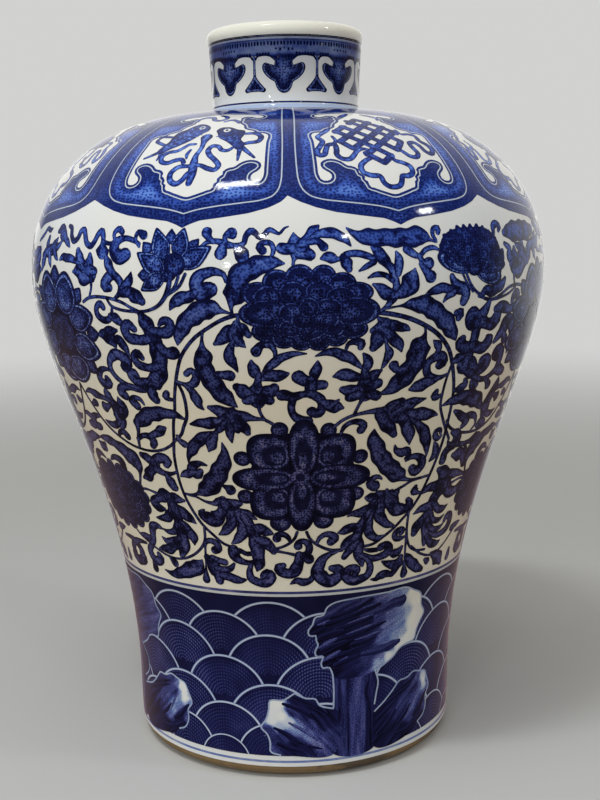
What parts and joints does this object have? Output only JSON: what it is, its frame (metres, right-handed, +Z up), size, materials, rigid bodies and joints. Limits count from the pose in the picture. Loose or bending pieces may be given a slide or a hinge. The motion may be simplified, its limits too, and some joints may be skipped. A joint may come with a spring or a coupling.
{
  "type": "meiping vase",
  "caption": "Tall glazed porcelain vase with full shoulders, a small neck with a rolled lip, a tapering body and a narrow bare foot ring; holds a few flower stems or a branch.",
  "frame": {"origin": "centre of the foot ring's resting face", "axes": "+Z up along the vase's axis of turning, -Y towards the side the picture shows"},
  "size_m": [0.246, 0.246, 0.3401],
  "materials": {
    "porcelain_body": "matte",
    "luting_slip": "matte",
    "painted_glaze": "gloss",
    "plain_glaze": "gloss"
  },
  "bodies": {
    "root": {"lower_section": "porcelain_body", "middle_section": "porcelain_body", "shoulder_section": "porcelain_body", "neck_section": "porcelain_body", "lower_seam_slip": "luting_slip", "belly_seam_slip": "luting_slip", "neck_seam_slip": "luting_slip", "outer_glaze": "painted_glaze", "inner_glaze": "plain_glaze", "base_glaze": "plain_glaze"}
  },
  "joints": []
}
